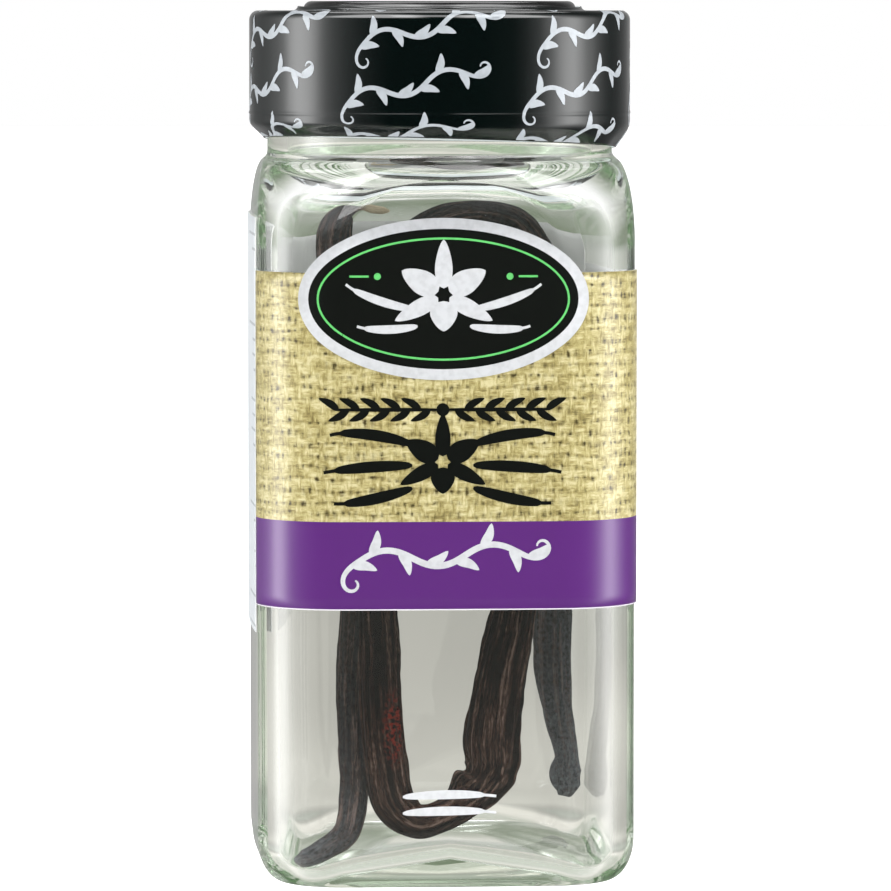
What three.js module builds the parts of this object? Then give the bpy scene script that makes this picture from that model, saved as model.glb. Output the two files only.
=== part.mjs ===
// A square glass spice jar with a screw cap, a shrink band round the cap, a wraparound label
// and two cured vanilla pods folded up inside it.
// Millimetres, +Z up. The jar stands on z = 0, its axis is the Z axis and its front looks along -Y.
import * as THREE from "three";

// ---- driving dimensions ----

const glass = {
  width: 44.4, // across two flat faces
  cornerRadius: 10,
  faceCrown: 0.2, // how far a face bows out between its corners
  wall: 2.4,
  shoulderStart: 74.5, // where the square body starts to turn into the round neck
  shoulderHeight: 9.5,
  neckRadius: 20.3, // a 43 mm screw finish
  neckBore: 18,
  rim: 99.3,
  rimRound: 0.6,
  heelWidth: 3.2, // the rounded lower edge of the outside
  heelHeight: 5,
  footWidth: 2.3, // the flat ring that the jar stands on
  puntHeight: 2.2, // how far the underside is pushed up in the middle
  floorCentre: 4.8, // inside floor: domed, lowest in the corners
  floorDrop: 4.8,
  floorReach: 24,
  innerHeel: 2.6,
};

const cap = {
  radius: 21.95,
  bottom: 89,
  shoulder: 100.85, // top of the cap outside its raised disc
  edgeRound: 1,
  discRadius: 16,
  top: 102.4,
  discRound: 0.9,
  bore: 20.9,
  ceiling: 99.6,
};

const band = {
  film: 0.25,
  radius: 22.4,
  lowest: 85.75, // mean height of its lower edge, which runs a little askew
  skewX: 0.6,
  skewY: 0.85,
  neckHug: 20.75,
  top: 101.3,
  edgeRound: 1.1,
  holeRadius: 16.8,
  lip: 0.45,
};

const label = {
  gap: 0.1, // between the glass and the paper
  thickness: 0.15,
  bottom: 32.5,
  top: 71.3,
  leftSeam: -26.4, // along the outline from the middle of the front, to the left
  rightSeam: 53,
  seamGap: 0.4,
  sideBottom: 29.2,
  sideTop: 77.4,
};

const badge = {
  width: 33.4,
  height: 18.6,
  centre: 68.3,
  shift: -0.9, // the print sits a little left of the middle of the front
  thickness: 0.15,
  gap: 0.05,
};

const cornerSteps = 8;
const faceSteps = 2;
const roundSteps = 48;
const podSides = 14;
const podSteps = 66;

// ---- the rounded square that the glass and the label follow ----

const halfWidth = glass.width / 2;
const flatHalf = halfWidth - glass.cornerRadius;
const faceRadius = (flatHalf ** 2 + glass.faceCrown ** 2) / (2 * glass.faceCrown);
const faceCentre = halfWidth - faceRadius;
const arcGap = faceRadius - glass.cornerRadius;
const cornerCentre = (faceCentre + Math.sqrt(2 * arcGap ** 2 - faceCentre ** 2)) / 2;
const faceAngle = Math.atan2(cornerCentre, cornerCentre - faceCentre);

const quarter = Math.PI / 2;

// The outline's point whose outward normal is at this angle from +X, moved out by offset.
function squarePoint(angle, offset = 0) {
  const turn = Math.round(angle / quarter);
  const local = angle - turn * quarter;
  const p = new THREE.Vector2(faceCentre + (faceRadius + offset) * Math.cos(local),
    (faceRadius + offset) * Math.sin(local));
  if (Math.abs(local) > faceAngle) {
    const side = Math.sign(local);
    p.set(cornerCentre + (glass.cornerRadius + offset) * Math.cos(local),
      side * cornerCentre + (glass.cornerRadius + offset) * Math.sin(local));
  }
  return p.rotateAround(new THREE.Vector2(0, 0), turn * quarter);
}

// Normal angles once round the outline, the same for every ring of the glass.
function ringAngles() {
  const angles = [];
  for (let q = 0; q < 4; q++) {
    for (let i = 0; i < faceSteps; i++)
      angles.push(q * quarter - faceAngle + (2 * faceAngle * i) / faceSteps);
    for (let i = 0; i < cornerSteps; i++)
      angles.push(q * quarter + faceAngle + ((quarter - 2 * faceAngle) * i) / cornerSteps);
  }
  return angles;
}

const angles = ringAngles();

// A ring of the glass: the outline moved out by offset, shrunk by scale and blended into a circle.
function glassRing({ z, offset = 0, scale = 1, round = 0, radius = 0 }) {
  return angles.map((a) => {
    const square = squarePoint(a, offset).multiplyScalar(scale);
    const p = square.lerp(new THREE.Vector2(Math.cos(a), Math.sin(a)).multiplyScalar(radius), round);
    return new THREE.Vector3(p.x, p.y, typeof z === "function" ? z(p) : z);
  });
}

// ---- meshes from rings ----

// Joins rings of equal length into one closed surface. The rings run so that each next ring lies on
// the outward side's left; the ends are closed by a fan, or onto each other when loop is true.
function ringSolid(rings, loop = false) {
  const n = rings[0].length;
  const points = rings.flat();
  const faces = [];
  const count = loop ? rings.length : rings.length - 1;
  for (let r = 0; r < count; r++) {
    const next = (r + 1) % rings.length;
    for (let i = 0; i < n; i++) {
      const j = (i + 1) % n;
      const [a, b, c, d] = [r * n + i, r * n + j, next * n + j, next * n + i];
      faces.push(a, b, c, a, c, d);
    }
  }
  if (!loop) {
    for (const [start, flip] of [[0, true], [(rings.length - 1) * n, false]]) {
      const middle = new THREE.Vector3();
      for (let i = 0; i < n; i++) middle.addScaledVector(points[start + i], 1 / n);
      const centre = points.push(middle) - 1;
      for (let i = 0; i < n; i++) {
        const j = (i + 1) % n;
        faces.push(...(flip ? [start + j, start + i, centre] : [start + i, start + j, centre]));
      }
    }
  }
  const geometry = new THREE.BufferGeometry().setFromPoints(points).setIndex(faces);
  geometry.computeVertexNormals();
  return geometry;
}

function part(name, geometry, color, settings = {}) {
  const material = new THREE.MeshStandardMaterial({ color, roughness: 0.5, metalness: 0, ...settings });
  const mesh = new THREE.Mesh(geometry, material);
  mesh.name = name;
  return mesh;
}

function steps(count, from = 0) {
  return Array.from({ length: count - from + 1 }, (_, i) => (i + from) / count);
}

// ---- the glass jar ----

const floorHeight = (p) => glass.floorCentre - glass.floorDrop * (Math.hypot(p.x, p.y) / glass.floorReach) ** 4;

function jarGeometry() {
  const g = glass;
  const rings = [];
  const foot = -(g.heelWidth + g.footWidth);
  for (const s of [0.12, 0.45, 0.75])
    rings.push(glassRing({ z: g.puntHeight * (1 - s * s), offset: foot, scale: s }));
  rings.push(glassRing({ z: 0, offset: foot }));
  for (const t of steps(5)) {
    const a = t * quarter;
    rings.push(glassRing({ z: g.heelHeight * (1 - Math.cos(a)), offset: -g.heelWidth * (1 - Math.sin(a)) }));
  }
  rings.push(glassRing({ z: (g.heelHeight + g.shoulderStart) / 2 }));
  for (const t of steps(8)) {
    const a = t * quarter;
    const z = g.shoulderStart + g.shoulderHeight * Math.sin(a);
    rings.push(glassRing({ z, round: 1 - Math.cos(a), radius: g.neckRadius }));
  }
  const circle = (radius, z) => rings.push(glassRing({ z, round: 1, radius }));
  for (const t of steps(2)) {
    const a = t * quarter;
    circle(g.neckRadius - g.rimRound * (1 - Math.cos(a)), g.rim - g.rimRound * (1 - Math.sin(a)));
  }
  for (const t of steps(2)) {
    const a = t * quarter;
    circle(g.neckBore + g.rimRound * (1 - Math.sin(a)), g.rim - g.rimRound * (1 - Math.cos(a)));
  }
  for (const t of steps(7)) {
    const a = (1 - t) * quarter;
    const z = g.shoulderStart - 1.2 + (g.shoulderHeight - 1.2) * Math.sin(a);
    rings.push(glassRing({ z, offset: -g.wall, round: 1 - Math.cos(a), radius: g.neckBore }));
  }
  const floorEdge = -(g.wall + g.innerHeel);
  for (const t of steps(4)) {
    const a = t * quarter;
    const offset = -g.wall - g.innerHeel * (1 - Math.cos(a));
    const edge = glassRing({ z: floorHeight, offset: floorEdge });
    const ring = glassRing({ z: 0, offset });
    ring.forEach((p, i) => (p.z = edge[i].z + g.innerHeel * (1 - Math.sin(a))));
    rings.push(ring);
  }
  for (const s of [0.7, 0.4, 0.12]) rings.push(glassRing({ z: floorHeight, offset: floorEdge, scale: s }));
  return ringSolid(rings);
}

// ---- the cap: a turned profile with a raised disc on top ----

function arc(centreR, centreZ, radius, from, to, count = 4) {
  return steps(count).map((t) => {
    const a = THREE.MathUtils.degToRad(from + (to - from) * t);
    return new THREE.Vector2(centreR + radius * Math.cos(a), centreZ + radius * Math.sin(a));
  });
}

function capGeometry() {
  const c = cap;
  const profile = [
    new THREE.Vector2(0, c.ceiling),
    new THREE.Vector2(c.bore, c.ceiling),
    new THREE.Vector2(c.bore, c.bottom),
    new THREE.Vector2(c.radius - 0.4, c.bottom),
    new THREE.Vector2(c.radius, c.bottom + 0.4),
    ...arc(c.radius - c.edgeRound, c.shoulder - c.edgeRound, c.edgeRound, 0, 90),
    new THREE.Vector2(c.discRadius, c.shoulder),
    ...arc(c.discRadius - c.discRound, c.top - c.discRound, c.discRound, 0, 90),
    new THREE.Vector2(0, c.top),
  ];
  return new THREE.LatheGeometry(profile, roundSteps).rotateX(quarter);
}

// ---- the shrink band: a film over the cap's side, drawn in onto the neck below it ----

// Radius and height of the band's outer face, t from 0 at its lower edge to 1 where its side starts.
function bandSkirt(t, lowEdge) {
  const sideStart = cap.bottom + 1.5;
  const reach = Math.sin(Math.min(1, t * 1.25) * quarter);
  const radius = THREE.MathUtils.lerp(band.neckHug, band.radius, reach ** 1.25);
  return new THREE.Vector2(radius, THREE.MathUtils.lerp(lowEdge, sideStart, t));
}

function bandGeometry() {
  const b = band;
  const outer = (lowEdge) => [
    ...steps(8).map((t) => bandSkirt(t, lowEdge)),
    ...arc(b.radius - b.edgeRound, b.top - b.edgeRound, b.edgeRound, 0, 90, 5),
    new THREE.Vector2(b.holeRadius + 0.5, b.top),
    new THREE.Vector2(b.holeRadius, b.top + b.lip),
  ];
  // the film's inner face, a film's thickness inside the outer one
  const inner = (line) => line.map((p, i) => {
    const before = line[Math.max(0, i - 1)];
    const after = line[Math.min(line.length - 1, i + 1)];
    const along = after.clone().sub(before).normalize();
    return new THREE.Vector2(p.x - along.y * b.film, p.y + along.x * b.film);
  });
  const columns = [];
  for (let i = 0; i < roundSteps; i++) {
    const a = (i / roundSteps) * 2 * Math.PI;
    const line = outer(b.lowest - b.skewX * Math.cos(a) - b.skewY * Math.sin(a));
    const wall = inner(line);
    columns.push([...line, ...wall.reverse()].map(
      (p) => new THREE.Vector3(p.x * Math.cos(a), p.x * Math.sin(a), p.y)));
  }
  const rings = columns[0].map((_, r) => columns.map((column) => column[r]));
  return ringSolid(rings, true);
}

// ---- the labels: paper wrapped round the outline ----

const faceArc = faceRadius * faceAngle;
const cornerArc = glass.cornerRadius * (quarter - 2 * faceAngle);
const sideArc = 2 * faceArc + cornerArc;

// The normal angle at this distance along the outline, counted to the right from the middle of the front.
function outlineAngle(distance) {
  const turn = Math.round(distance / sideArc);
  const rest = distance - turn * sideArc;
  const bend = Math.max(0, Math.abs(rest) - faceArc) / glass.cornerRadius;
  const face = Math.min(Math.abs(rest), faceArc) / faceRadius;
  return (turn - 1) * quarter + Math.sign(rest) * (face + bend);
}

// Paper on the outline, from columns that each hold a distance along it, a bottom and a top.
function wrapGeometry(columns, inset, thickness) {
  const rings = columns.map(([distance, bottom, top]) => {
    const a = outlineAngle(distance);
    const inside = squarePoint(a, inset);
    const outside = squarePoint(a, inset + thickness);
    return [
      new THREE.Vector3(inside.x, inside.y, bottom),
      new THREE.Vector3(inside.x, inside.y, top),
      new THREE.Vector3(outside.x, outside.y, top),
      new THREE.Vector3(outside.x, outside.y, bottom),
    ];
  });
  return ringSolid(rings);
}

function labelGeometry(from, to, bottom, top) {
  const count = Math.ceil((to - from) / 1.3);
  const columns = steps(count).map((t) => [THREE.MathUtils.lerp(from, to, t), bottom, top]);
  return wrapGeometry(columns, label.gap, label.thickness);
}

// The oval badge lies on the front of the label and stands up past its top edge.
function badgeGeometry() {
  const tip = 1 / 32; // the two outermost columns stand this share of a half turn in from the tips
  const columns = steps(30).map((t) => {
    const a = Math.PI * THREE.MathUtils.lerp(1 - tip, tip, t);
    const rise = (badge.height / 2) * Math.sin(a);
    const distance = badge.shift + (badge.width / 2) * Math.cos(a);
    return [distance, badge.centre - rise, badge.centre + rise];
  });
  return wrapGeometry(columns, label.gap + label.thickness + badge.gap, badge.thickness);
}

// ---- the pods ----

// Each row is a point of a pod's middle line and its width there: x, y, z, width.
// The front pod hangs from its curled stem end, turns on the floor and is creased on the way up.
const frontPod = {
  flatness: 0.68,
  line: [
    [-6.2, -5.8, 78.5, 0.9],
    [-8.3, -6.3, 78.8, 1.1],
    [-10, -6.8, 79.3, 0.9],
    [-12.2, -7.2, 79, 3.2],
    [-12.9, -7.4, 76.6, 4.3],
    [-12.7, -7.6, 72, 4.4],
    [-12.1, -8, 64, 4.4],
    [-10.6, -10, 52, 4.4],
    [-9.2, -11, 40, 4.2],
    [-8, -11.6, 31.4, 4.4],
    [-7.7, -11.8, 21.6, 4.8],
    [-7, -11.8, 13.6, 5],
    [-5.9, -11.8, 9, 4.9],
    [-3.4, -11.8, 6.9, 4],
    [-0.6, -11.5, 7.5, 3.6],
    [2.2, -11, 9, 3.8],
    [4.4, -10.5, 10.8, 4.6],
    [5.5, -10.2, 13, 6],
    [5.5, -10, 16, 6.3],
    [6.1, -9.4, 20.6, 5.9],
    [7.1, -8.8, 26.2, 5.7],
    [8.2, -8.2, 31.4, 5],
    [8.6, -6.8, 44, 4.8],
    [8.3, -5.5, 56, 4.5],
    [7.8, -4.6, 67, 4],
    [7.4, -4, 73, 2.6],
  ],
};

// The back pod lies in the front left corner by its thin tip, arches over at the top of the jar
// and ends in the swollen stem end low down at the back.
const backPod = {
  flatness: 0.7,
  line: [
    [-17.6, -15, 3, 1.9],
    [-16, -15, 3.1, 2.3],
    [-13.8, -14, 4.2, 2.7],
    [-11.6, -11.6, 5.8, 3],
    [-10.6, -8.8, 9.6, 3.2],
    [-10.4, -6.6, 15, 3.8],
    [-10.3, -4.8, 22, 4.3],
    [-9.4, -2.6, 32, 4.7],
    [-7.8, 0.4, 44, 4.9],
    [-6, 3.2, 56, 4.9],
    [-4.9, 5.2, 67, 4.8],
    [-3.1, 6.1, 73.6, 4.7],
    [0.6, 6.9, 77.1, 4.6],
    [4.8, 7.6, 78.2, 4.6],
    [8.8, 8.3, 77, 4.7],
    [11.6, 9.2, 73, 4.8],
    [13.3, 10.2, 66, 4.8],
    [14.1, 11.2, 54, 4.8],
    [14.4, 11.6, 42, 5],
    [14.7, 12, 29, 5.3],
    [14.9, 12.2, 22, 5.1],
    [15.6, 12.4, 15.9, 4.2],
    [16.6, 12.5, 11.8, 3.9],
    [16.6, 12.6, 9.5, 5.3],
    [17.1, 12.7, 7.8, 4.3],
    [17.4, 12.8, 6.7, 2.6],
  ],
};

const podRidges = 5;
const ridgeDepth = 0.05;

function podGeometry({ flatness, line }) {
  const path = new THREE.CatmullRomCurve3(line.map(([x, y, z]) => new THREE.Vector3(x, y, z)), false, "centripetal");
  const width = (t) => {
    const at = t * (line.length - 1);
    const i = Math.min(line.length - 2, Math.floor(at));
    return THREE.MathUtils.lerp(line[i][3], line[i + 1][3], THREE.MathUtils.smoothstep(at - i, 0, 1));
  };
  const depthAxis = new THREE.Vector3(0, 1, 0);
  const rings = steps(podSteps).map((t) => {
    const along = path.getTangent(t);
    const wide = new THREE.Vector3().crossVectors(along, depthAxis).normalize();
    const thin = new THREE.Vector3().crossVectors(along, wide).normalize();
    const middle = path.getPoint(t);
    return steps(podSides, 1).map((s) => {
      const a = s * 2 * Math.PI;
      const reach = (width(t) / 2) * (1 + ridgeDepth * Math.cos(podRidges * a + 5 * t));
      return middle.clone()
        .addScaledVector(wide, reach * Math.cos(a))
        .addScaledVector(thin, reach * flatness * Math.sin(a));
    });
  });
  return ringSolid(rings);
}

// ---- the whole jar ----

const labelTurn = 4 * sideArc;
const group = new THREE.Group();
group.add(
  part("jar", jarGeometry(), 0xdfe6df, { roughness: 0.05, transparent: true, opacity: 0.35 }),
  part("cap", capGeometry(), 0x0b0c0c, { roughness: 0.25 }),
  part("shrink_band", bandGeometry(), 0x101312, { roughness: 0.2 }),
  part("label_front",
    labelGeometry(label.leftSeam, label.rightSeam, label.bottom, label.top),
    0xd9c88c, { roughness: 0.4 }),
  part("label_side",
    labelGeometry(label.rightSeam + label.seamGap, label.leftSeam + labelTurn - label.seamGap,
      label.sideBottom, label.sideTop),
    0xe9edee, { roughness: 0.4 }),
  part("badge", badgeGeometry(), 0x101411, { roughness: 0.35 }),
  part("pod_front", podGeometry(frontPod), 0x2b2420, { roughness: 0.6 }),
  part("pod_back", podGeometry(backPod), 0x2d2823, { roughness: 0.65 }),
);

export default group;
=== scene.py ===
from math import atan2, copysign, cos, degrees, exp, hypot, pi, radians, sin, sqrt

import bmesh
import bpy
from mathutils import Matrix, Vector, kdtree, noise


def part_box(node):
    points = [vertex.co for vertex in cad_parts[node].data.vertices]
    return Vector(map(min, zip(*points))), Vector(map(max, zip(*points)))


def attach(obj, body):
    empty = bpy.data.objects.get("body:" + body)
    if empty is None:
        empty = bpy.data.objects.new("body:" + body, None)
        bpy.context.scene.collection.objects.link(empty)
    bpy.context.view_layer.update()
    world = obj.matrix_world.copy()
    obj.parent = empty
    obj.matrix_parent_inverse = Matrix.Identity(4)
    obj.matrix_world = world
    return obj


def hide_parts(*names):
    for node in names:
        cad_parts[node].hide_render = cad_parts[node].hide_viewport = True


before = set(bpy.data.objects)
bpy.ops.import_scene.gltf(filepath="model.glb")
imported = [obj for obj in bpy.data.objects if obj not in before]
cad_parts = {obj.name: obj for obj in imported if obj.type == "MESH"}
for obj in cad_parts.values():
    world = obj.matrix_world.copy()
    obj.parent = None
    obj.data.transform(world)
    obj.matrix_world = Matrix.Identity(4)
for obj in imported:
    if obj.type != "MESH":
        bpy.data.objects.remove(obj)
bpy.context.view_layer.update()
scene = bpy.context.scene
mm = 0.001
quarter = pi / 2
print("frame loaded:", sorted(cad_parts))


def newObject(name, data):
    made = bpy.data.objects.new(name, data)
    scene.collection.objects.link(made)
    return made


def meshObject(name, bm, materials):
    mesh = bpy.data.meshes.new(name)
    bm.to_mesh(mesh)
    bm.free()
    for material in materials:
        mesh.materials.append(material)
    return newObject(name, mesh)


cameraView = {
    "distance": 770 * mm,  # level distance from the jar's axis
    "height": 101.1 * mm,
    "turn": -3.5,  # degrees round the jar, so that a sliver of its left side shows
    "aimHeight": 49.99 * mm,
    "aimAside": 0.7 * mm,
    "lens": 263.8,
    "sensor": 36,
    "near": 0.05,
    "far": 50,
}


def makeCamera():
    v = cameraView
    turn = radians(v["turn"])
    side = Vector((cos(turn), sin(turn), 0))
    back = Vector((sin(turn), -cos(turn), 0))
    camera = newObject("camera", bpy.data.cameras.new("camera"))
    camera.location = back * v["distance"] + Vector((0, 0, v["height"]))
    aim = side * v["aimAside"] + Vector((0, 0, v["aimHeight"]))
    camera.rotation_euler = (aim - camera.location).to_track_quat("-Z", "Y").to_euler()
    camera.data.lens = v["lens"]
    camera.data.sensor_width = v["sensor"]
    camera.data.clip_start = v["near"]
    camera.data.clip_end = v["far"]
    scene.camera = camera


makeCamera()


def linearColour(hexCode):
    parts = [int(hexCode[i:i + 2], 16) / 255 for i in (1, 3, 5)]
    return (*[c / 12.92 if c <= 0.04045 else ((c + 0.055) / 1.055) ** 2.4 for c in parts], 1.0)


def grey(value):
    return (value, value, value, 1.0)


def fillRamp(ramp, stops):
    elements = ramp.elements
    while len(elements) > len(stops):
        elements.remove(elements[-1])
    while len(elements) < len(stops):
        elements.new(1.0)
    for element, (place, colour) in zip(elements, stops):
        element.position = place
        element.color = linearColour(colour) if isinstance(colour, str) else colour


# A key is one of the node's properties, an input's name or number, or "stops" for a colour ramp.
# A node or a socket is linked, from a node's first output in use, and a hex code becomes its colour.
def fillNode(node, values):
    for key, value in values.items():
        if key == "stops":
            fillRamp(node.color_ramp, value)
        elif isinstance(key, str) and hasattr(node, key):
            setattr(node, key, value)
        elif isinstance(value, bpy.types.Node):
            node.id_data.links.new(next(s for s in value.outputs if s.enabled), node.inputs[key])
        elif isinstance(value, bpy.types.NodeSocket):
            node.id_data.links.new(value, node.inputs[key])
        else:
            node.inputs[key].default_value = linearColour(value) if isinstance(value, str) else value


# A math node's kind is followed by its operation.
def addNode(tree, kind, values=None):
    kind, _, operation = kind.partition(" ")
    node = tree.nodes.new("ShaderNode" + kind)
    if operation:
        node.operation = operation
    fillNode(node, values or {})
    return node


def newMaterial(name):
    material = bpy.data.materials.new(name)
    material.use_nodes = True
    return material, material.node_tree


def fillShader(tree, values):
    fillNode(tree.nodes["Principled BSDF"], values)


# The rounded square that the glass and the labels follow.
outline = {
    "cornerRadius": 10 * mm,
    "faceCrown": 0.2 * mm,  # each face bows out this far between its corners
}
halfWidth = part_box("jar")[1].x
flatHalf = halfWidth - outline["cornerRadius"]
faceRadius = (flatHalf ** 2 + outline["faceCrown"] ** 2) / (2 * outline["faceCrown"])
faceCentre = halfWidth - faceRadius
arcGap = faceRadius - outline["cornerRadius"]
cornerCentre = (faceCentre + sqrt(2 * arcGap ** 2 - faceCentre ** 2)) / 2
faceAngle = atan2(cornerCentre, cornerCentre - faceCentre)
faceArc = faceRadius * faceAngle
cornerArc = outline["cornerRadius"] * (quarter - 2 * faceAngle)
sideArc = 2 * faceArc + cornerArc


# The outline's point whose outward normal is at this angle from +X, moved out by offset.
def squarePoint(angle, offset):
    turn = round(angle / quarter)
    local = angle - turn * quarter
    if abs(local) <= faceAngle:
        x = faceCentre + (faceRadius + offset) * cos(local)
        y = (faceRadius + offset) * sin(local)
    else:
        reach = outline["cornerRadius"] + offset
        x = cornerCentre + reach * cos(local)
        y = copysign(cornerCentre, local) + reach * sin(local)
    c, s = cos(turn * quarter), sin(turn * quarter)
    return Vector((x * c - y * s, x * s + y * c, 0))


# The normal's angle at this distance round the outline, from the middle of the front to the right.
def outlineAngle(distance):
    turn = round(distance / sideArc)
    rest = distance - turn * sideArc
    bend = max(0.0, abs(rest) - faceArc) / outline["cornerRadius"]
    face = min(abs(rest), faceArc) / faceRadius
    return (turn - 1) * quarter + copysign(face + bend, rest)


# A place on the body's wall: distance round it, height and how far it stands off the glass.
def wallPoint(distance, height, lift):
    return squarePoint(outlineAngle(distance), lift) + Vector((0, 0, height))


mergeReach = 1e-6  # points nearer to each other than this are one
cutReach = 1e-7


def finishPiece(name, bm, materials, replaced=()):
    for face in bm.faces:
        face.smooth = True
    piece = meshObject(name, bm, materials)
    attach(piece, "root")
    if replaced:
        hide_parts(*replaced)
    return piece


# A grid of across by along cells whose points go where place(u, v) says, u and v from 0 to 1.
# When closed, points that fall together, as at a seam or a pole, are merged.
def gridSurface(across, along, place, uvScale=(1, 1), closed=False):
    bm = bmesh.new()
    bmesh.ops.create_grid(bm, x_segments=across, y_segments=along, size=0.5)
    uv = bm.loops.layers.uv.new("UVMap")
    for face in bm.faces:
        for loop in face.loops:
            u, v = loop.vert.co.x + 0.5, loop.vert.co.y + 0.5
            loop[uv].uv = (u * uvScale[0], v * uvScale[1])
    for vert in bm.verts:
        u = min(1.0, max(0.0, vert.co.x + 0.5))
        v = min(1.0, max(0.0, vert.co.y + 0.5))
        vert.co = place(u, v)
    if closed:
        bmesh.ops.remove_doubles(bm, verts=bm.verts, dist=mergeReach)
        bmesh.ops.dissolve_degenerate(bm, edges=bm.edges, dist=cutReach)
        bmesh.ops.recalc_face_normals(bm, faces=bm.faces)
    return bm


# Gives an open sheet its thickness, inwards. Its back takes its second material, and so does its rim
# unless rim is 0.
def thicken(piece, thickness, rim=1):
    wall = piece.modifiers.new("thickness", "SOLIDIFY")
    wall.thickness = thickness
    wall.offset = -1
    wall.material_offset = 1
    wall.material_offset_rim = rim


def smoothStep(x, low=0.0, high=1.0):
    t = min(1.0, max(0.0, (x - low) / (high - low)))
    return t * t * (3 - 2 * t)


def mix(a, b, t):
    return a + (b - a) * t


def shares(count, first=1):
    return [i / count for i in range(first, count + 1)]


def quarterTurn(count, first=1):
    return [t * quarter for t in shares(count, first)]


# A level step of length 1 at an angle from +X.
def outward(angle):
    return Vector((cos(angle), sin(angle), 0))


glassJar = {
    "ringPoints": 160,
    "wall": 2.4 * mm,
    "shoulderStart": 74.5 * mm,
    "shoulderHeight": 9.5 * mm,
    "shoulderTurn": 0.96,  # share of a quarter turn, as the shoulder still falls a little at the neck
    "shoulderThinning": 1.2 * mm,  # the inside's shoulder starts lower and rises less by this
    "neckRadius": 20.3 * mm,
    "neckFillet": 0.9 * mm,
    "filletShares": (0.35, 0.8),  # how far outside the neck the shoulder ends and the fillet starts
    "innerFillet": 1.5 * mm,
    "neckBore": 18.0 * mm,
    "rim": 99.3 * mm,
    "rimRound": 0.6 * mm,
    "heelWidth": 3.2 * mm,
    "heelHeight": 5.0 * mm,
    "footWidth": 2.3 * mm,
    "footEdge": 0.4 * mm,
    "puntHeight": 2.2 * mm,
    "floorCentre": 4.8 * mm,
    "floorDrop": 4.8 * mm,
    "floorReach": 24.0 * mm,
    "innerHeel": 2.6 * mm,
    "innerLowest": 6.6 * mm,  # where the upright inside ends
    "waviness": 0.07 * mm,  # the inside was blown against air, so it is never quite even
    "waveLength": 14 * mm,
    "waveShift": (3, 7, 1),
}


def floorHeight(point):
    g = glassJar
    return g["floorCentre"] - g["floorDrop"] * (hypot(point.x, point.y) / g["floorReach"]) ** 4


# Stations from the middle of the underside, up the outside, over the rim and down the inside:
# each is a function from an angle to a point.
def jarStations():
    g = glassJar
    stations = []
    floorEdge = -(g["wall"] + g["innerHeel"])

    # A ring of the square's form, or as round as roundness says. Where floor is given, z is counted
    # from the floor's height at that share of the way out to its edge.
    def ring(offset=0.0, z=0.0, scale=1.0, roundness=0.0, radius=0.0, floor=None, wave=0.0):
        def place(angle):
            p = (squarePoint(angle, offset) * scale).lerp(outward(angle) * radius, roundness)
            p.z = z if floor is None else floorHeight(squarePoint(angle, floorEdge) * floor) + z
            bend = noise.noise(p / g["waveLength"] + Vector(g["waveShift"])) if wave else 0.0
            return p + outward(angle) * bend * wave
        stations.append(place)

    def neckRing(radius, z):
        ring(z=z, roundness=1, radius=radius)

    foot = -(g["heelWidth"] + g["footWidth"])
    for s in shares(10, 0):
        ring(foot, g["puntHeight"] * (1 - s ** 2), s)
    ring(foot + g["footEdge"])
    for a in quarterTurn(14, 0):
        ring(-g["heelWidth"] * (1 - sin(a)), g["heelHeight"] * (1 - cos(a)))
    for t in shares(12):
        ring(z=mix(g["heelHeight"], g["shoulderStart"], t))

    neck, fillet = g["neckRadius"], g["neckFillet"]
    shoulderEnd, filletStart = g["filletShares"]
    for a in quarterTurn(18):
        a *= g["shoulderTurn"]
        ring(0, g["shoulderStart"] + g["shoulderHeight"] * sin(a),
             roundness=1 - cos(a), radius=neck + fillet * shoulderEnd)
    shoulderTop = g["shoulderStart"] + g["shoulderHeight"]
    for a in quarterTurn(5):
        neckRing(neck + fillet * (1 - sin(a)) * filletStart, shoulderTop + fillet * (1 - cos(a)))

    bore, rim, bend = g["neckBore"], g["rim"], g["rimRound"]
    for t in shares(4):
        neckRing(neck, mix(shoulderTop + fillet, rim - bend, t))
    for a in quarterTurn(4):
        neckRing(neck - bend * (1 - cos(a)), rim - bend * (1 - sin(a)))
    for a in quarterTurn(4):
        neckRing(bore + bend * (1 - sin(a)), rim - bend * (1 - cos(a)))

    innerStart = g["shoulderStart"] - g["shoulderThinning"]
    innerRise = g["shoulderHeight"] - g["shoulderThinning"]
    for t in shares(4):
        neckRing(bore, mix(rim - bend, innerStart + innerRise + g["innerFillet"], t))
    for t in shares(18, 0):
        a = (1 - t) * quarter
        ring(-g["wall"], innerStart + innerRise * sin(a), roundness=1 - cos(a), radius=bore,
             wave=g["waviness"] * t)
    for t in shares(26):
        ring(-g["wall"], mix(innerStart, g["innerLowest"], t), wave=g["waviness"])
    heel = g["innerHeel"]
    for a in quarterTurn(14, 0):
        ring(-g["wall"] - heel * (1 - cos(a)), heel * (1 - sin(a)), floor=1.0, wave=g["waviness"])
    for s in reversed(shares(10, 0)[:-1]):
        ring(floorEdge, 0, s, floor=s)
    return stations


def sodaLimeGlass(name, roughness):
    # Clear soda-lime container glass, pressed and blown in a mould: fire-polished, so its gloss is
    # sharp, with a faint green that only the thick base and the edges gather enough of to show.
    # The underside is stippled by the mould, so there the light is scattered.
    material, tree = newMaterial(name)
    fillShader(tree, {"Base Color": (1, 1, 1, 1), "Roughness": roughness, "IOR": 1.51,
                      "Transmission Weight": 1.0})
    body = addNode(tree, "VolumeAbsorption", {"Color": "#aed6a0", "Density": 5.5})
    fillNode(tree.nodes["Material Output"], {"Volume": body})
    return material


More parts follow.
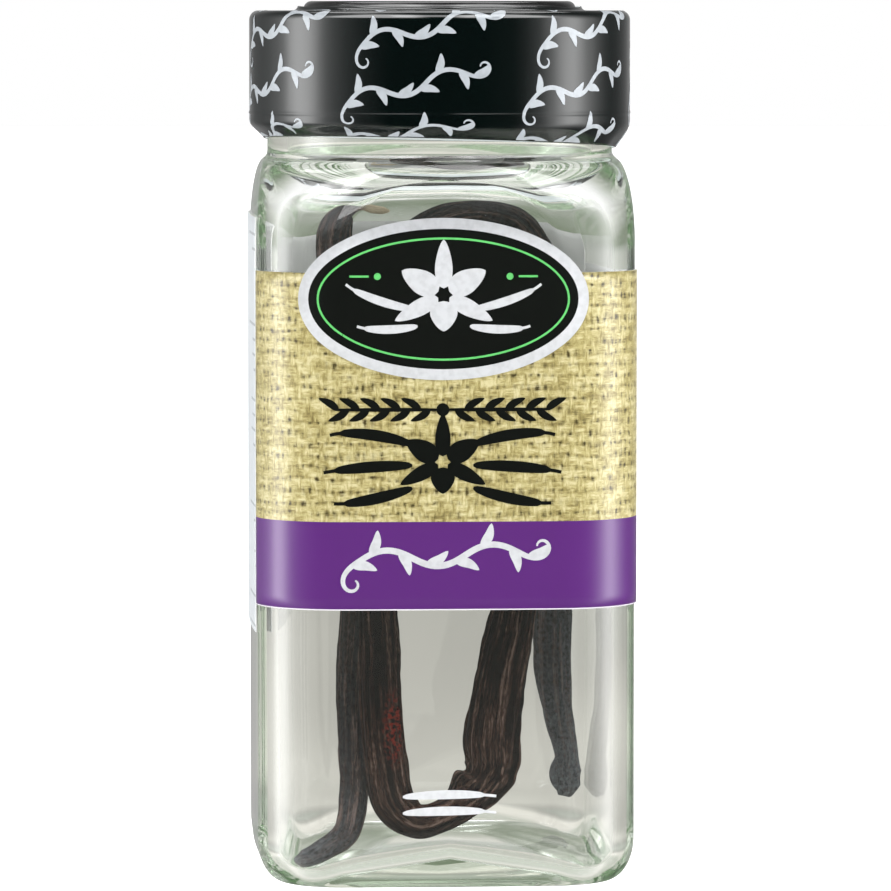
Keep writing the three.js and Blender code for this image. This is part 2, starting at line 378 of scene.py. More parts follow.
def makeJar():
    stations = jarStations()
    last = len(stations) - 1

    def place(u, v):
        return stations[round(v * last)](u * 2 * pi)

    bm = gridSurface(glassJar["ringPoints"], last, place, closed=True)
    underside = glassJar["puntHeight"] + 0.05 * mm  # only the underside lies lower and faces down
    for face in bm.faces:
        if face.calc_center_median().z < underside and face.normal.z < -0.9:
            face.material_index = 1
    clear, stippled = sodaLimeGlass("sodaLimeGlass", 0.0), sodaLimeGlass("stippledGlass", 0.1)
    jar = finishPiece("glassJar", bm, [clear, stippled], ["jar"])
    jar.visible_shadow = False  # clear glass hardly darkens what is behind it
    return jar


jar = makeJar()
print("jar made:", len(jar.data.polygons), "faces")


capBody = {
    "radius": 21.95 * mm,
    "bottom": 89 * mm,
    "lowerRound": 0.4 * mm,
    "shoulder": 100.85 * mm,
    "edgeRound": 1 * mm,
    "discRadius": 16 * mm,
    "discFillet": 0.3 * mm,
    "top": 102.4 * mm,
    "discRound": 0.9 * mm,
    "dish": 0.12 * mm,  # the disc's middle lies this much lower
    "bore": 20.9 * mm,
    "ceiling": 99.6 * mm,
    "linerGap": 0.2 * mm,
    "linerThickness": 0.28 * mm,
    "linerMiddle": 0.15 * mm,  # below the ceiling
}

bandFilm = {
    "thickness": 0.12 * mm,
    "radius": 22.4 * mm,
    "capEdge": 89.2 * mm,  # where the cap's lower edge shows through the film
    "bead": [(0.07, 0.1), (0.05, 0.25), (-0.01, 0.42), (0, 0.8)],  # mm out from the side and above capEdge
    "lowest": 85.75 * mm,
    "skewX": 0.6 * mm,
    "skewY": 0.85 * mm,
    "neckHug": 20.75 * mm,
    "flare": (1.3, 1.25),  # how soon and how slackly it swings out from the neck to the cap
    "top": 101.3 * mm,
    "edgeRound": 1.1 * mm,
    "hole": 16.7 * mm,
    "holeRound": 0.6 * mm,
    "slack": (160, 160, 40),  # ripples in the gloss, 6 mm across and 25 mm up
    "pucker": 0.18 * mm,
    "puckerLength": 4 * mm,
    "puckersRound": 9,
    "curlReach": 1.5 * mm,  # from the hole's edge, which is cut and shrunk unevenly
    "curlOut": 0.5 * mm,
    "curlUp": 0.35 * mm,
    "curlsRound": 2,
}


def arcPoints(centre, radius, start, end, count):
    points = []
    for t in shares(count, 0):
        a = radians(mix(start, end, t))
        points.append(Vector((centre[0] + radius * cos(a), centre[1] + radius * sin(a))))
    return points


def mouldedPolypropylene():
    # Black polypropylene, injection moulded in a polished tool: deep gloss with faint flow marks.
    material, tree = newMaterial("mouldedPolypropylene")
    place = addNode(tree, "TexCoord")
    # flow marks of about 4 mm
    marks = addNode(tree, "TexNoise", {"Scale": 260, "Detail": 2, "Vector": place.outputs["Object"]})
    gloss = addNode(tree, "MapRange", {"To Min": 0.17, "To Max": 0.22, "Value": marks})
    fillShader(tree, {"Base Color": "#0a0b0b", "IOR": 1.49, "Roughness": gloss})
    return material


def makeCap():
    c = capBody
    low, edge, fillet, disc = c["lowerRound"], c["edgeRound"], c["discFillet"], c["discRound"]
    profile = [Vector((0, c["ceiling"])), Vector((c["bore"], c["ceiling"])), Vector((c["bore"], c["bottom"]))]
    profile += arcPoints((c["radius"] - low, c["bottom"] + low), low, -90, 0, 4)
    profile += arcPoints((c["radius"] - edge, c["shoulder"] - edge), edge, 0, 90, 6)
    profile += arcPoints((c["discRadius"] + fillet, c["shoulder"] + fillet), fillet, 270, 180, 4)
    profile += arcPoints((c["discRadius"] - disc, c["top"] - disc), disc, 0, 90, 8)
    profile += [Vector((r * c["discRadius"], c["top"] - c["dish"] * (1 - r))) for r in (0.8, 0.5, 0.2, 0)]
    bm = bmesh.new()
    verts = [bm.verts.new((p.x, 0, p.y)) for p in profile]
    edges = [bm.edges.new(pair) for pair in zip(verts, verts[1:])]
    bmesh.ops.spin(bm, geom=verts + edges, cent=(0, 0, 0), axis=(0, 0, 1), angle=2 * pi,
                   steps=128, use_merge=True)
    bmesh.ops.remove_doubles(bm, verts=bm.verts, dist=mergeReach)
    bmesh.ops.recalc_face_normals(bm, faces=bm.faces)
    finishPiece("capBody", bm, [mouldedPolypropylene()], ["cap"])


# The film's outer face from its lower edge to its hole, before it is skewed: radius and height.
def filmProfile():
    b = bandFilm
    side, edge, holeEdge = b["radius"], b["edgeRound"], b["hole"] + b["holeRound"]
    points = []
    for t in shares(14, 0):
        reach = sin(min(1, t * b["flare"][0]) * quarter) ** b["flare"][1]
        points.append(Vector((mix(b["neckHug"], side, reach), mix(b["lowest"], b["capEdge"], t))))
    # the cap's lower edge presses through as a fine bead
    points += [Vector((side + out * mm, b["capEdge"] + up * mm)) for out, up in b["bead"]]
    beadTop = b["capEdge"] + b["bead"][-1][1] * mm
    points += [Vector((side, mix(beadTop, b["top"] - edge, t))) for t in shares(10)]
    points += arcPoints((side - edge, b["top"] - edge), edge, 0, 90, 8)[1:]
    points += [Vector((mix(side - edge, holeEdge, t), b["top"])) for t in shares(8)]
    points += arcPoints((holeEdge, b["top"] + b["holeRound"]), b["holeRound"], 270, 190, 5)[1:]
    return points


filmLine = filmProfile()
filmLengths = [0.0]
for before, after in zip(filmLine, filmLine[1:]):
    filmLengths.append(filmLengths[-1] + (after - before).length)


# The film's surface at an angle round the cap and a length along its profile from the lower edge.
def filmPoint(angle, along, lift=0.0):
    b = bandFilm
    i = 0
    while i < len(filmLine) - 2 and filmLengths[i + 1] < along:
        i += 1
    t = (along - filmLengths[i]) / (filmLengths[i + 1] - filmLengths[i])
    step = (filmLine[i + 1] - filmLine[i]).normalized()
    p = filmLine[i].lerp(filmLine[i + 1], t) + Vector((step.y, -step.x)) * lift
    x, y = cos(angle), sin(angle)
    puckers, curls = b["puckersRound"], b["curlsRound"]
    low = 1 - smoothStep(p.y, b["lowest"], b["capEdge"])
    skew = -(b["skewX"] * x + b["skewY"] * y) * low
    ripple = noise.noise(Vector((x * puckers, y * puckers, p.y / b["puckerLength"]))) * low
    inner = 1 - smoothStep(p.x, b["hole"], b["hole"] + b["curlReach"])
    curl = noise.noise(Vector((x * curls, y * curls, 5))) * inner
    radius = p.x + ripple * b["pucker"] + curl * b["curlOut"]
    return Vector((radius * x, radius * y, p.y + skew + curl * b["curlUp"]))


def shrinkFilm():
    # PETG shrink film printed solid black: heat-drawn, so glossy, with slack ripples in the gloss.
    b = bandFilm
    material, tree = newMaterial("shrinkFilm")
    place = addNode(tree, "TexCoord")
    slack = addNode(tree, "Mapping", {"Scale": b["slack"], "Vector": place.outputs["Object"]})
    ripples = addNode(tree, "TexNoise", {"Scale": 1.0, "Detail": 2, "Vector": slack})
    bump = addNode(tree, "Bump", {"Strength": 0.25, "Distance": 0.2 * mm, "Height": ripples})
    fillShader(tree, {"Base Color": "#020908", "Roughness": 0.12, "IOR": 1.57,
                      "Specular IOR Level": 0.4, "Normal": bump})
    return material


def filmBack():
    # The unprinted back of the film: a white under-coat that keeps the black dense. Its faint glow
    # is painted light, standing in for the light that the thick glass of the neck gathers behind it.
    material, tree = newMaterial("filmBack")
    fillShader(tree, {"Base Color": "#dbe3e4", "Roughness": 0.4,
                      "Emission Color": "#dbe3e4", "Emission Strength": 0.75})
    return material


def makeFilm():
    last = len(filmLengths) - 1

    def place(u, v):
        return filmPoint(u * 2 * pi, filmLengths[round(v * last)])

    bm = gridSurface(160, last, place)
    bmesh.ops.remove_doubles(bm, verts=bm.verts, dist=mergeReach)
    film = finishPiece("shrinkFilm", bm, [shrinkFilm(), filmBack()], ["shrink_band"])
    thicken(film, bandFilm["thickness"], 0)


def linerFoam():
    # White foamed polyethylene with a smooth skin: the soft disc that the cap presses on the rim. Its
    # faint glow is painted light, standing in for the light that the glass below gathers on it.
    material, tree = newMaterial("linerFoam")
    fillShader(tree, {"Base Color": "#ecece8", "Roughness": 0.5,
                      "Emission Color": "#ecece8", "Emission Strength": 0.95})
    return material


def makeLiner():
    c = capBody
    radius = c["bore"] - c["linerGap"]
    bm = bmesh.new()
    bmesh.ops.create_cone(bm, cap_ends=True, segments=96, radius1=radius, radius2=radius,
                          depth=c["linerThickness"])
    bmesh.ops.translate(bm, verts=bm.verts, vec=(0, 0, c["ceiling"] - c["linerMiddle"]))
    finishPiece("capLiner", bm, [linerFoam()])


makeCap()
makeLiner()
makeFilm()
print("cap and film made")


# Printed shapes are flat strokes that are laid on a surface.
printStep = 0.0025 * mm  # each stroke lies this much above the one before, so no two share a plane


# The layer with the strokes' levels, and the next level up.
def inkLevel(bm):
    layer = bm.verts.layers.float.get("level") or bm.verts.layers.float.new("level")
    return layer, max((v[layer] for v in bm.verts), default=0.0) + printStep


# Adds a stroke: a strip along a path, as wide as widthAt says from its start (0) to its end (1).
def addStroke(bm, path, widthAt, ink=0):
    layer, height = inkLevel(bm)
    count = len(path) - 1
    made = bmesh.ops.create_grid(bm, x_segments=count, y_segments=1, size=0.5)["verts"]
    for vert in made:
        t = min(1.0, max(0.0, vert.co.x + 0.5))
        side = copysign(0.5, vert.co.y)
        i = round(t * count)
        along = (path[min(count, i + 1)] - path[max(0, i - 1)]).normalized()
        p = path[i] + Vector((-along.y, along.x)) * side * widthAt(t)
        vert.co = (p.x, p.y, 0)
        vert[layer] = height
    for face in {f for v in made for f in v.link_faces}:
        face.material_index = ink


def addOval(bm, centre, width, height, ink=0, segments=24):
    layer, level = inkLevel(bm)
    made = bmesh.ops.create_circle(bm, cap_ends=True, radius=0.5, segments=segments)["verts"]
    for vert in made:
        vert.co = (centre[0] + vert.co.x * width, centre[1] + vert.co.y * height, 0)
        vert[layer] = level
    for face in {f for v in made for f in v.link_faces}:
        face.material_index = ink


def smoothPath(points, steps):
    path = []
    last = len(points) - 1
    for i in range(last):
        a, b = points[max(0, i - 1)], points[i]
        c, d = points[i + 1], points[min(last, i + 2)]
        for k in range(steps):
            t = k / steps
            path.append(0.5 * ((2 * b) + (c - a) * t + (2 * a - 5 * b + 4 * c - d) * t * t
                               + (3 * b - a - 3 * c + d) * t ** 3))
    path.append(points[-1].copy())
    return path


# A step of length 1 on the print, at an angle in degrees.
def heading(angle):
    return Vector((cos(radians(angle)), sin(radians(angle))))


def penWidth(thick, thin=0.25):
    return lambda t: thick * (thin + (1 - thin) * sin(pi * t) ** 0.7)


def leafWidth(wide):
    return lambda t: wide * sin(pi * t ** 0.75) ** 0.85 + 0.02 * mm


# A leaf or petal from a point, at an angle in degrees, bowed to its left by a share of its length.
def addLeaf(bm, start, angle, length, wide, bow, ink=0):
    along = heading(angle)
    side = Vector((-along.y, along.x))
    middle = start + along * length * 0.5 + side * length * bow
    addStroke(bm, smoothPath([start, middle, start + along * length], 8), leafWidth(wide), ink)


# A curl that leaves a point at an angle in degrees and winds up ever tighter.
def curlPath(start, angle, length, tightness):
    path = [start]
    count = 26
    for i in range(count):
        angle += tightness * ((i + 0.5) / count) ** 1.3 * (length / mm) / count
        path.append(path[-1] + heading(angle) * length / count)
    return path


vineForm = {
    "waves": 1.5,
    "leaves": 8,
    "lean": 48,  # degrees between a leaf and the stem
    "leafShape": 0.38,  # its width by its length
    "bow": 0.1,
    "leafSpan": (0.24, 0.78),  # the share of the stem from the first leaf to the last
}


# A stem that swings up and down as it runs to the right, with a curl at each end, about its middle.
def vinePath(vine):
    count = 40
    turn = 2 * pi * vineForm["waves"]
    wave = [Vector((0, 0))]
    for i in range(count):
        angle = vine["swing"] * cos(turn * (i + 0.5) / count)
        wave.append(wave[-1] + heading(angle) * vine["length"] / count)
    last = cos(turn) * vine["swing"]
    before = curlPath(wave[0], 180 + vine["swing"], vine["curl"], vine["tightness"])
    after = curlPath(wave[-1], last, vine["curl"], copysign(vine["tightness"], -last))
    path = before[:0:-1] + wave + after[1:]
    xs, ys = [p.x for p in path], [p.y for p in path]
    middle = Vector(((min(xs) + max(xs)) / 2, (min(ys) + max(ys)) / 2))
    return [p - middle for p in path]


def addVine(bm, path, vine):
    form = vineForm
    addStroke(bm, path, penWidth(vine["pen"]))
    for k in range(form["leaves"]):
        i = int(mix(*form["leafSpan"], k / (form["leaves"] - 1)) * (len(path) - 1))
        along = path[i + 1] - path[i - 1]
        turn = degrees(atan2(along.y, along.x))
        side = 1 if k % 2 else -1
        wide = vine["leaf"] * form["leafShape"]
        addLeaf(bm, path[i], turn + side * form["lean"], vine["leaf"], wide, -form["bow"] * side)


# A long seed pod, drawn as a slim crescent with a little hook at its end.
def addPodShape(bm, start, angle, length, wide, bend, ink=0):
    def width(t):
        body = 0.22 + 0.78 * sin(pi * min(1, 1.12 * t)) ** 0.45
        return wide * (body if t < 0.85 else 0.3)

    path = [start]
    count, hook = 24, 4
    for i in range(count):
        angle += bend / count * (0.7 if i < count - hook else 2.6)
        path.append(path[-1] + heading(angle) * length / count)
    addStroke(bm, path, width, ink)


# An orchid's face: three narrow sepals, two broad petals and a lip.
def addBlossom(bm, centre, size, ink=0):
    for angle, length, wide in ((90, 1, 0.36), (208, 1, 0.34), (332, 1, 0.34), (150, 0.86, 0.5),
                                (30, 0.86, 0.5), (270, 0.62, 0.56)):
        addLeaf(bm, centre + heading(angle) * size * 0.13, angle, size * length, size * wide, 0, ink)


# Turns the strokes that aren't among the known points by degrees, then moves them.
def slidePrint(bm, known, shift, turn):
    fresh = [v for v in bm.verts if v not in known]
    bmesh.ops.rotate(bm, verts=fresh, cent=(0, 0, 0), matrix=Matrix.Rotation(radians(turn), 3, "Z"))
    bmesh.ops.translate(bm, verts=fresh, vec=(*shift, 0))


def cutPrint(bm, place, direction, clear=False):
    parts = bm.verts[:] + bm.edges[:] + bm.faces[:]
    bmesh.ops.bisect_plane(bm, geom=parts, plane_co=(*place, 0), plane_no=(*direction, 0),
                           clear_outer=clear, dist=cutReach)


# Cuts the strokes into narrow strips, so that they can bend round a surface, and lays them on it.
def layPrint(bm, stripWidth, place):
    layer = bm.verts.layers.float["level"]
    low = min(v.co.x for v in bm.verts)
    high = max(v.co.x for v in bm.verts)
    for i in range(1, int((high - low) / stripWidth) + 1):
        cutPrint(bm, (low + i * stripWidth, 0), (1, 0))
    for vert in bm.verts:
        vert.co = place(vert.co.x, vert.co.y, vert[layer])


def printInk(name, hexCode):
    # Flexographic ink under a gloss varnish: an even coat, laid down very slightly unevenly.
    material, tree = newMaterial(name)
    place = addNode(tree, "TexCoord")
    # mottled every 0.7 mm
    mottle = addNode(tree, "TexNoise", {"Scale": 1400, "Detail": 2, "Vector": place.outputs["Object"]})
    colour = linearColour(hexCode)
    thin = tuple(c * 0.88 for c in colour[:3]) + (1,)
    coat = addNode(tree, "ValToRGB", {"Fac": mottle, "stops": [(0.3, thin), (0.6, colour)]})
    fillShader(tree, {"Roughness": 0.3, "IOR": 1.5, "Base Color": coat})
    return material


bandPrint = {
    "slant": 13,  # degrees, rising to the right
    "repeats": 6,
    "pitch": 21.7 * mm,  # along a row; the last gap, at the back, is wider, at the film's seam
    "rowGap": 6.7 * mm,
    "rowShift": 1.9 * mm,
    "start": -49.6 * mm,
    "firstRow": -0.1 * mm,  # the lowest row is cut off by the film's lower edge
    "rows": 4,
    "pen": 0.55 * mm,
    "leaf": 2.3 * mm,
    "length": 15.4 * mm,  # of a vine's wave, without its curls
    "swing": 34,  # degrees up and down
    "curl": 5.2 * mm,
    "tightness": 124,  # degrees that a curl turns in a millimetre at its end
    "lowerEdge": 0.15 * mm,
    "upperEdge": 0.8 * mm,
    "lift": 0.015 * mm,
    "inkDepth": 0.02 * mm,  # the strokes' levels start again at this, so that the last don't stand off
}


def makeBandPrint():
    p = bandPrint
    bm = bmesh.new()
    around = 2 * pi * bandFilm["radius"]
    path = vinePath(p)
    for row in range(p["rows"]):
        for k in range(p["repeats"]):
            known = set(bm.verts)
            addVine(bm, path, p)
            shift = p["start"] + p["rowShift"] * row + p["pitch"] * k
            slidePrint(bm, known, (shift, p["firstRow"] + p["rowGap"] * row), p["slant"])
    cutPrint(bm, (0, p["lowerEdge"]), (0, -1), True)
    cutPrint(bm, (0, filmLengths[-1] - p["upperEdge"]), (0, 1), True)
    for height in filmLengths[1:-1]:
        cutPrint(bm, (0, height), (0, 1))

    def place(x, y, level):
        return filmPoint(x / bandFilm["radius"] - quarter, y, p["lift"] + level % p["inkDepth"])

    layPrint(bm, around / 160, place)
    finishPiece("bandVines", bm, [printInk("paleGreyInk", "#aeb4ba")])


makeBandPrint()
print("band print made")


frontLabel = {
    "from": -26.4 * mm,
    "to": 53.0 * mm,
    "bottom": 32.5 * mm,
    "top": 71.3 * mm,
    "bandTop": 42.7,  # mm; the purple band runs from the label's lower edge up to here
    "lift": 0.25 * mm,
    "thickness": 0.15 * mm,
    "warpPitch": 0.9,  # mm between the upright threads of the printed weave
    "weftPitch": 1.32,  # mm between its level threads
    "shade": "#726438",
    "fibre": "#978a54",
    "straw": "#b4a870",
    "highlight": "#cfc697",
    "hole": "#3d3317",
    "purple": "#562072",
    "bare": "#e3dfe6",
    "margin": 0.14,  # mm of unprinted film along the lower edge
}

sideLabel = {
    "bottom": 29.2 * mm,
    "top": 77.4 * mm,
    "seamGap": 0.4 * mm,
    "rulePitch": 1.75,  # mm from one printed rule to the next
    "ruleShare": 0.18,  # of the pitch that a rule is thick
    "blockPitch": 38.0,  # mm between the lines at which the blocks of rules are mirrored
    "blockEdge": 3.0,  # mm from such a line to the blocks' straight edges
    "shortest": 14.0,  # mm from there to the nearest ragged end
    "longest": 34.0,
    # painted shade: the white stock is coloured a pale blue-grey
    "paper": "#d9dee2",
    "rule": "#a9afb2",
}


# The label's UV map, and the two lengths in mm that it holds: round the jar and up it.
def labelCoordinates(tree):
    uv = addNode(tree, "UVMap", {"uv_map": "UVMap"})
    parts = addNode(tree, "SeparateXYZ", {0: uv})
    return uv, parts.outputs["X"], parts.outputs["Y"]


# A wave that is 0 in the gaps between threads and turns sign from one thread to the next, and the
# number of the nearest gap.
def threadWave(tree, length, pitch, sway):
    turns = addNode(tree, "Math MULTIPLY_ADD", {0: length, 1: 1 / pitch, 2: sway})
    gap = addNode(tree, "Math ROUND", {0: turns})
    angle = addNode(tree, "Math MULTIPLY", {0: turns, 1: pi})
    return addNode(tree, "Math SINE", {0: angle}), gap


def printedWeave():
    # Polypropylene film label with a photographic print of jute sacking over a flat purple band: soft
    # crossing fibres and ragged gaps between the threads, under smooth film whose gloss stays even.
    p = frontLabel
    material, tree = newMaterial("printedWeave")
    uv, across, up = labelCoordinates(tree)
    sways = []
    for scale in ((0.55, 0.22, 1), (0.2, 0.5, 1)):
        stretched = addNode(tree, "Mapping", {"Scale": scale, "Vector": uv})
        wander = addNode(tree, "TexNoise", {"Scale": 1.0, "Detail": 3, "Vector": stretched})
        sways.append(addNode(tree, "MapRange", {"To Min": -0.8, "To Max": 0.8, "Value": wander}))
    warp, warpGap = threadWave(tree, across, p["warpPitch"], sways[0])
    weft, weftGap = threadWave(tree, up, p["weftPitch"], sways[1])

    gaps = []
    for wave, reach in ((warp, 1.1), (weft, 0.95)):
        size = addNode(tree, "Math ABSOLUTE", {0: wave})
        gaps.append(addNode(tree, "MapRange", {"interpolation_type": "SMOOTHSTEP", "From Min": reach,
                                               "From Max": 0.0, "Value": size}))
    crossing = addNode(tree, "CombineXYZ", {0: warpGap, 1: weftGap})
    chance = addNode(tree, "TexWhiteNoise", {"noise_dimensions": "2D", "Vector": crossing})
    openness = addNode(tree, "MapRange", {"To Min": 0.1, "To Max": 1.5, "Value": chance})
    both = addNode(tree, "Math MULTIPLY", {0: gaps[0], 1: gaps[1]})
    soft = addNode(tree, "Math POWER", {0: both, 1: 0.75})
    hole = addNode(tree, "Math MULTIPLY", {0: soft, 1: openness})

    fibres = []
    for scale in ((3.0, 0.6, 1), (0.6, 3.0, 1)):
        stretched = addNode(tree, "Mapping", {"Scale": scale, "Vector": uv})
        fibres.append(addNode(tree, "TexNoise", {"Scale": 1.0, "Detail": 4, "Roughness": 0.68,
                                                 "Vector": stretched}))
    over = addNode(tree, "Math MULTIPLY", {0: warp, 1: weft})
    share = addNode(tree, "MapRange", {"From Min": -0.8, "From Max": 0.8, "Value": over})
    strand = addNode(tree, "Mix", {0: share, 2: fibres[0], 3: fibres[1]})
    blotch = addNode(tree, "TexNoise", {"Scale": 0.45, "Detail": 6, "Roughness": 0.7, "Vector": uv})
    body = addNode(tree, "Math MULTIPLY_ADD", {0: blotch, 1: 0.75, 2: strand})
    thin = addNode(tree, "Math MULTIPLY", {0: gaps[1], 1: -0.05})
    tone = addNode(tree, "Math ADD", {0: body, 1: thin})
    stops = [(0.62, p["shade"]), (0.75, p["fibre"]), (0.86, p["straw"]), (1.0, p["highlight"])]
    colour = addNode(tree, "ValToRGB", {"Fac": tone, "stops": stops})
    ragged = addNode(tree, "MapRange", {"From Min": 0.35, "From Max": 0.6, "To Min": 1.3, "To Max": 0.3,
                                        "Value": strand})
    depth = addNode(tree, "Math MULTIPLY", {"use_clamp": True, 0: hole, 1: ragged})
    weave = addNode(tree, "Mix", {"data_type": "RGBA", 0: depth, 6: colour, 7: p["hole"]})

    # the flat colours come over the weave, up to their heights
    for top, flat in ((p["bandTop"], p["purple"]), (p["bottom"] / mm + p["margin"], p["bare"])):
        below = addNode(tree, "Math LESS_THAN", {0: up, 1: top})
        weave = addNode(tree, "Mix", {"data_type": "RGBA", 0: below, 6: weave, 7: flat})
    fillShader(tree, {"Roughness": 0.28, "IOR": 1.5, "Coat Weight": 0.15, "Coat Roughness": 0.06,
                      "Base Color": weave})
    return material


def labelBacking():
    # White pulp-coloured film: the unprinted back and the cut edge of a label.
    material, tree = newMaterial("labelBacking")
    fillShader(tree, {"Base Color": "#e4e6e4", "Roughness": 0.55})
    return material


def ruledPaper():
    # Smooth white label stock printed with ragged blocks of thin grey rules, under a light varnish.
    # Its pale blue-grey is painted shade on the white stock.
    s = sideLabel
    material, tree = newMaterial("ruledPaper")
    uv, across, up = labelCoordinates(tree)
    rows = addNode(tree, "Math DIVIDE", {0: up, 1: s["rulePitch"]})
    part = addNode(tree, "Math FRACT", {0: rows})
    row = addNode(tree, "Math FLOOR", {0: rows})
    inRule = addNode(tree, "Math LESS_THAN", {0: part, 1: s["ruleShare"]})
    chance = addNode(tree, "TexWhiteNoise", {"noise_dimensions": "1D", "W": row})
    end = addNode(tree, "MapRange", {"To Min": s["shortest"], "To Max": s["longest"], "Value": chance})
    block = addNode(tree, "Math PINGPONG", {0: across, 1: s["blockPitch"]})
    inBlock = addNode(tree, "Math LESS_THAN", {0: block, 1: end})
    fromEdge = addNode(tree, "Math GREATER_THAN", {0: block, 1: s["blockEdge"]})
    both = addNode(tree, "Math MULTIPLY", {0: inRule, 1: inBlock})
    rule = addNode(tree, "Math MULTIPLY", {0: both, 1: fromEdge})
    colour = addNode(tree, "Mix", {"data_type": "RGBA", 0: rule, 6: s["paper"], 7: s["rule"]})
    fillShader(tree, {"Roughness": 0.3, "IOR": 1.48, "Base Color": colour})
    return material


labelCell = (0.6 * mm, 1.5 * mm)  # narrow, so that the sheet follows the corners


# A sheet on the jar's wall between two distances round it and two heights, its UV map in mm.
def wallSheet(low, high, bottom, top, lift):
    def place(u, v):
        return wallPoint(mix(low, high, u), mix(bottom, top, v), lift)

    width, height = high - low, top - bottom
    bm = gridSurface(round(width / labelCell[0]), round(height / labelCell[1]), place,
                     (width / mm, height / mm))
    uv = bm.loops.layers.uv["UVMap"]
    for face in bm.faces:
        for loop in face.loops:
            loop[uv].uv += Vector((low / mm, bottom / mm))
    return bm


backing = labelBacking()


def makeLabels():
    f, s = frontLabel, sideLabel
    bm = wallSheet(f["from"], f["to"], f["bottom"], f["top"], f["lift"])
    front = finishPiece("frontLabel", bm, [printedWeave(), backing], ["label_front"])
    thicken(front, f["thickness"])
    start, end = f["to"] + s["seamGap"], f["from"] + 4 * sideArc - s["seamGap"]
    bm = wallSheet(start, end, s["bottom"], s["top"], f["lift"])
    side = finishPiece("sideLabel", bm, [ruledPaper(), backing], ["label_side"])
    thicken(side, f["thickness"])


makeLabels()
print("labels made")


blackInk = printInk("blackInk", "#050805")
whiteInk = printInk("whiteInk", "#cacccf")
enamelInk = printInk("enamelInk", "#d8dadd")
greenInk = printInk("greenInk", "#62c76c")


def layOnWall(bm, name, materials, lift):
    layPrint(bm, 0.8 * mm, lambda x, y, level: wallPoint(x, y, lift + level))
    return finishPiece(name, bm, materials)


titleOrnament = {
    "middle": -1.0 * mm,
    "garland": 55.6 * mm,  # its height
    "stem": (0.6, 4, 8, 12.4),  # mm from the middle
    "leafPlaces": [1.7 + 2.35 * k for k in range(5)],
    "blossom": 49.6 * mm,
    "podStart": 3.5 * mm,
    # The pods of each side: height and length in mm, degrees from level and how far they bend.
    "pods": [(51.6, 9.6, 20, 34), (49.2, 10.2, 0, 12), (46.6, 9.2, -20, -22)],
}


def makeTitleOrnament():
    # a garland over a blossom between three pairs of long pods
    o = titleOrnament
    middle, height = o["middle"], o["garland"]
    bm = bmesh.new()
    for side in (-1, 1):
        for place in o["leafPlaces"]:
            for lean in (-1, 1):
                start = Vector((middle + side * (place + lean * 0.55 + 0.3) * mm, height))
                angle = 90 - side * 90 + side * lean * 30
                addLeaf(bm, start, angle, 2.6 * mm, 0.85 * mm, 0.06 * side * lean)
        stem = [Vector((middle + side * x * mm, height)) for x in o["stem"]]
        addStroke(bm, smoothPath(stem, 6), penWidth(0.45 * mm, 0.5))
        for up, length, rise, bend in o["pods"]:
            start = Vector((middle + side * o["podStart"], up * mm))
            angle = rise if side > 0 else 180 - rise
            addPodShape(bm, start, angle, length * mm, 1.3 * mm, -bend * side)
    addOval(bm, (middle, height), 1.5 * mm, 1.5 * mm)
    addBlossom(bm, Vector((middle, o["blossom"])), 4.9 * mm)
    layOnWall(bm, "titleOrnament", [blackInk], frontLabel["lift"])


bandScroll = {
    "length": 19.6 * mm,
    "swing": 30,
    "curl": 6.6 * mm,
    "tightness": 100,
    "pen": 0.75 * mm,
    "leaf": 2.9 * mm,
    "place": (-0.6 * mm, 37.6 * mm),
    "slant": 3,
}


def makeBandScroll():
    # white scrollwork on the purple band
    s = bandScroll
    bm = bmesh.new()
    addVine(bm, vinePath(s), s)
    slidePrint(bm, (), s["place"], s["slant"])
    layOnWall(bm, "bandScroll", [whiteInk], frontLabel["lift"])


glassPrint = {
    "heights": (9.0 * mm, 10.9 * mm),
    "start": -5.6 * mm,
    "length": 10.8 * mm,
    "width": 1.05 * mm,
    "lift": 0.01 * mm,
}


def makeGlassPrint():
    # two white pods, one over the other, printed straight on the glass
    g = glassPrint
    bm = bmesh.new()
    for height in g["heights"]:
        addPodShape(bm, Vector((g["start"], height)), 5, g["length"], g["width"], -12)
    layOnWall(bm, "glassPrint", [enamelInk], g["lift"])


badge = {
    "width": 33.4 * mm,
    "height": 18.6 * mm,
    "centre": 68.3 * mm,
    "shift": -0.9 * mm,
    "lift": 0.42 * mm,
    "thickness": 0.12 * mm,
    "border": 1.25 * mm,
    "pen": 0.24 * mm,
    "ruleGap": 1.1 * mm,  # from the border to the green rule inside it
    "blossom": 5.6 * mm,
    # The pods of each side: place in mm, degrees from upright and length in mm.
    "pods": [(3.2, -1.2, 82, 8.6), (3.0, -3.1, 102, 7.0)],
    "dash": (8.6, 9.6, 10.8),  # the green line beyond each green dot, in mm from the middle
}


